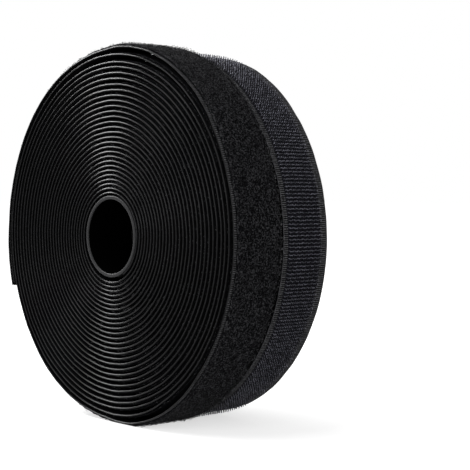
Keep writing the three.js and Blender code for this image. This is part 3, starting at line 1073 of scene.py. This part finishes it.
class MakeWebs(Operator):
    """Winds the woven web of each tape"""

    bl_idname = "tape_rolls.make_webs"
    bl_label = "Make Webs"

    def execute(self, context):
        tape, winding, finishes = settings().tape, settings().winding, settings().finishes
        glue = adhesive()
        # The cut colours are painted highlights on each web's cut edges
        for roll, ground, cut_edge_highlight, gloss in (
            (LOOP_ROLL, finishes.pile, finishes.loop_cut_highlight, 0.07),
            (HOOK_ROLL, finishes.hook_ground, finishes.hook_cut_highlight, 0.01),
        ):
            web = {
                "Thickness": tape.web,
                "Width": TAPE_WIDTH,
                "Edge Radius": tape.web_edge,
                "Bevel Run": tape.bevel_run,
                "Sharp Angle": SHARP_ANGLE,
                "Back Material": glue,
            }
            look = {"ground": ground, "cut_edge_highlight": cut_edge_highlight, "gloss": gloss}
            # The woven web's rib crests get a painted highlight; the pressed web's get none
            pressed = woven_nylon(roll, f"pressed nylon {roll.name} web", finishes.web, **look)
            woven = woven_nylon(roll, f"woven nylon {roll.name} web", finishes.selvage_rib_highlight, **look)
            flat = {**web, "Material": pressed}
            ribs = {"Rib Height": tape.rib_height, "Rib Pitch": tape.rib_pitch}
            ribbed = {**web, "Material": woven, **ribs}
            tree, height, slot = layer_of(roll), -tape.web / 2, f"{roll.name}_web"
            start, end = shown_from(roll), bend_turn(roll)

            run = between(0.0, start, winding.steps, height)
            wound = grow(f"{slot}_wound", tree, {**run, **flat})
            dress(wound, roll, [f"{roll.name}_tape"])
            run = between(start, end, winding.fine_steps, height)
            outer = grow(f"{slot}_outer_turn", tree, {**run, **ribbed})
            dress(outer, roll, [f"{roll.name}_tape"])
            run = between(end, roll.free_end, winding.fine_steps, height)
            free = grow(f"{slot}_free_end", tree, {**run, **ribbed})
            dress_free_end(free, [f"{roll.name}_tape_end"])
        return {"FINISHED"}


# In turns: the liner starts once the tape has left the core, and stops just short of the free end.
# The last turns before its free end lie loose.
LINER_STARTS = 0.9
LINER_SHORT = 0.002
LOOSE_TURNS = 2.6
LINER_STEPS = 90
FREE_LINER_STEPS = 360


class MakeLiners(Operator):
    """Winds the release liner under each tape"""

    bl_idname = "tape_rolls.make_liners"
    bl_label = "Make Liners"

    def execute(self, context):
        tape = settings().tape
        film = release_film("siliconed release film", gloss=0.5)
        pressed = release_film("pressed release film", gloss=0.08)
        dusty = release_film("dusty release film", gloss=0.0)
        liner = {
            "Thickness": tape.liner,
            "Width": TAPE_WIDTH - 2 * tape.liner_inset,
            "Edge Radius": tape.liner / 3,
        }
        height = -tape.web - tape.layer_gap - tape.liner / 2
        for roll in ROLLS:
            tree, end = layer_of(roll), bend_turn(roll)
            loose = end - LOOSE_TURNS
            for name, start, stop, finish in (
                ("wound", LINER_STARTS, loose, pressed),
                ("loose_turns", loose, end, dusty),
            ):
                run = between(start, stop, LINER_STEPS, height)
                run = {**run, **liner, "Material": finish, "Back Material": finish}
                wound = grow(f"{roll.name}_liner_{name}", tree, run)
                dress(wound, roll, [f"{roll.name}_liner"])
            run = between(end, roll.free_end - LINER_SHORT, FREE_LINER_STEPS, height)
            run = {**run, **liner, "Material": film, "Back Material": film}
            free = grow(f"{roll.name}_liner_free_end", tree, run)
            dress_free_end(free, [f"{roll.name}_liner_end"])
        return {"FINISHED"}


# A standing loop in its own plane: the angles of its points, and how far up its middle stands as a
# share of its radius
LOOP_DEGREES = (-20, 35, 90, 145, 200)
LOOP_STAND = 0.6

# Loops that stand out at the open edge of the pressed pile: how many there are in all, from which
# turn on, and how far past the pile
EDGE_FUZZ = 7200
EDGE_FUZZ_STARTS = 0.5
EDGE_FUZZ_OUT = 0.2 * MM

# Loops at the rear edge of the outer pile: how many to a turn, and how far in from that edge, so that
# the hook roll turns clear of them
REAR_FUZZ = 2600
REAR_FUZZ_IN = 0.6 * MM

PILE_STEPS = 700
PILE_SECTION_POINTS = 56


class MakePile(Operator):
    """Grows the brushed pile of the loop tape, between its turns and on its outside"""

    bl_idname = "tape_rolls.make_pile"
    bl_label = "Make Pile"

    def execute(self, context):
        tape, winding = settings().tape, settings().winding
        roll, tree = LOOP_ROLL, layer_of(LOOP_ROLL)
        finishes = settings().finishes
        felt = brushed_pile("brushed nylon pile", finishes.curls)
        # The pile between the turns has darker curls, painted shade
        painted_shade_felt = brushed_pile("pressed nylon pile", finishes.pressed_curls_painted_shade)
        fibre = brushed_loops("brushed nylon loops", finishes.loops)
        start, end = shown_from(roll), bend_turn(roll)

        pressed = {
            **between(0.0, start, winding.steps, tape.inner_pile / 2),
            "Material": painted_shade_felt,
            "Back Material": painted_shade_felt,
            "Width": tape.inner_face,
            "Thickness": tape.inner_pile,
            "Edge Radius": tape.inner_pile / 4,
        }
        dress(grow("loop_pile_wound", tree, pressed), roll, [])

        angles = [math.radians(a) for a in LOOP_DEGREES]
        points = [(tape.loop * math.cos(a), tape.loop * (LOOP_STAND + math.sin(a))) for a in angles]
        loop = strand("pile loop", points, tape.fibre)
        low, high = roll.face
        # The fuzz loops take the paler edge colour, a painted highlight
        fuzz = {
            "Strand": loop,
            "Lean": 0.9,
            "Least Scale": 0.5,
            "Most Scale": 1.1,
            "Material": brushed_loops("brushed nylon edge loops", finishes.edge_loops_painted_highlight),
        }
        pressed_fuzz = {
            **between(EDGE_FUZZ_STARTS, roll.free_end - 1, 0, tape.inner_pile / 2),
            **fuzz,
            "Steps": EDGE_FUZZ,
            "Side": roll.open_side * (tape.inner_face / 2 + EDGE_FUZZ_OUT),
            "Scatter": tape.inner_pile * 0.45,
        }
        rear_fuzz = {
            **between(start, end, REAR_FUZZ, tape.pile),
            **fuzz,
            "Side": high - REAR_FUZZ_IN,
            "Scatter": tape.pile * 0.5,
        }
        fuzz_tree = edge_fuzz_tree(roll, winding_of(roll))
        for name, values in (("pressed", pressed_fuzz), ("rear", rear_fuzz)):
            dress(grow(f"loop_pile_{name}_fuzz", fuzz_tree, values), roll, [])

        open_pile = {
            "Material": felt,
            "Back Material": felt,
            "Width": high - low,
            "Off Middle": (low + high) / 2,
            "Thickness": tape.pile,
            "Edge Radius": tape.pile / 2.2,
            "Edge Steps": 3,
            "Section Points": PILE_SECTION_POINTS,
            "Lump Height": 1.4 * MM,
            "Lump Size": 1.6 * MM,
        }
        standing = {
            "Strand": loop,
            "Density": 0.5 / MM**2,
            "Clump Size": 2.0 * MM,
            "Lean": 0.7,
            "Seed": 3,
            "Material": fibre,
        }
        tufts = standing_loops_tree()
        for name, run in (("outer", (start, end)), ("free_end", (end, roll.free_end))):
            values = {**between(*run, PILE_STEPS, tape.pile / 2), **open_pile}
            base = grow(f"loop_pile_{name}", tree, values)
            for piece in (base, grow(f"loop_pile_{name}_loops", tufts, standing, base)):
                if name == "outer":
                    dress(piece, roll, ["loop_pile"])
                else:
                    dress_free_end(piece, ["loop_pile_end"])
        bpy.data.objects.remove(loop)
        return {"FINISHED"}


# A hook in its own plane, in millimetres: along the tape, and up from the web
HOOK_POINTS = ((-0.1, -0.1), (-0.1, 0.8), (-0.07, 1.1), (0.04, 1.24), (0.15, 1.12), (0.18, 0.92))

# The hooks that show between the turns: how many there are in all, and from which turn on
HOOKS_BETWEEN_TURNS = 5200
HOOKS_START = 0.3


class MakeHooks(Operator):
    """Sets the rows of hooks on the hook tape, on its outside and at the open edge of each turn"""

    bl_idname = "tape_rolls.make_hooks"
    bl_label = "Make Hooks"

    def execute(self, context):
        tape = settings().tape
        roll = HOOK_ROLL
        tree = hook_rows_tree(roll, winding_of(roll))
        wire = strand("hook", [(x * MM, z * MM) for x, z in HOOK_POINTS], tape.hook_wire)
        low, high = roll.face
        columns = int((high - low) / tape.hook_column)
        rows = math.tau * (TAPE_HIGH.z - AXIS.z) / tape.hook_pitch
        hooks = {
            "Strand": wire,
            "Column Pitch": tape.hook_column,
            "Scatter": 0.06 * MM,
            "Lean": 0.1,
            "Material": drawn_monofilament(),
        }
        field = {
            **hooks,
            "First Column": (low + high) / 2 - (columns - 1) / 2 * tape.hook_column,
            "Columns": columns,
            "Least Scale": 0.9,
            "Most Scale": 1.1,
        }
        start, end = shown_from(roll), bend_turn(roll)
        outer = grow("hook_hooks_outer", tree, {**between(start, end, rows), **field})
        dress(outer, roll, ["hook_field"])
        half_row = 0.5 / rows
        run = between(end + half_row, roll.free_end - half_row, rows)
        free = grow("hook_hooks_free_end", tree, {**run, **field})
        dress_free_end(free, ["hook_field_end"])

        pressed = {
            **between(HOOKS_START, start, 0),
            **hooks,
            "Steps": HOOKS_BETWEEN_TURNS,
            "First Column": roll.open_side * (tape.inner_face - tape.hook_column) / 2,
            "Columns": 1,
            "Least Scale": 0.62,
            "Most Scale": 0.72,
            "Seed": 5,
        }
        dress(grow("hook_hooks_inner", tree, pressed), roll, [])
        bpy.data.objects.remove(wire)
        return {"FINISHED"}


OPERATORS = (MakeStage, MakeCores, MakeWebs, MakeLiners, MakePile, MakeHooks)


class TapeRollPanel(Panel):
    """Sizes, colours and steps of the two rolls"""

    bl_idname = "VIEW3D_PT_tape_rolls"
    bl_label = "Tape Rolls"
    bl_space_type = "VIEW_3D"
    bl_region_type = "UI"
    bl_category = "Tape Rolls"

    def draw(self, context):
        for group in (settings().tape, settings().winding, settings().finishes, settings().stage):
            box = self.layout.box()
            for name in group.bl_rna.properties.keys():
                if name not in ("rna_type", "name"):
                    box.prop(group, name)
        for operator in OPERATORS:
            self.layout.operator(operator.bl_idname)


GROUPS = (TapeSizes, WindingSizes, Finishes, StageSettings, TapeRollSettings)
CLASSES = (*GROUPS, *OPERATORS, TapeRollPanel)


def register():
    for kind in CLASSES:
        bpy.utils.register_class(kind)
    bpy.types.Scene.tape_rolls = PointerProperty(type=TapeRollSettings)


def unregister():
    del bpy.types.Scene.tape_rolls
    for kind in reversed(CLASSES):
        bpy.utils.unregister_class(kind)


def main():
    register()
    bpy.ops.tape_rolls.make_stage()
    bpy.ops.tape_rolls.make_cores()
    bpy.ops.tape_rolls.make_webs()
    bpy.ops.tape_rolls.make_liners()
    bpy.ops.tape_rolls.make_pile()
    bpy.ops.tape_rolls.make_hooks()


if __name__ == "__main__":
    main()
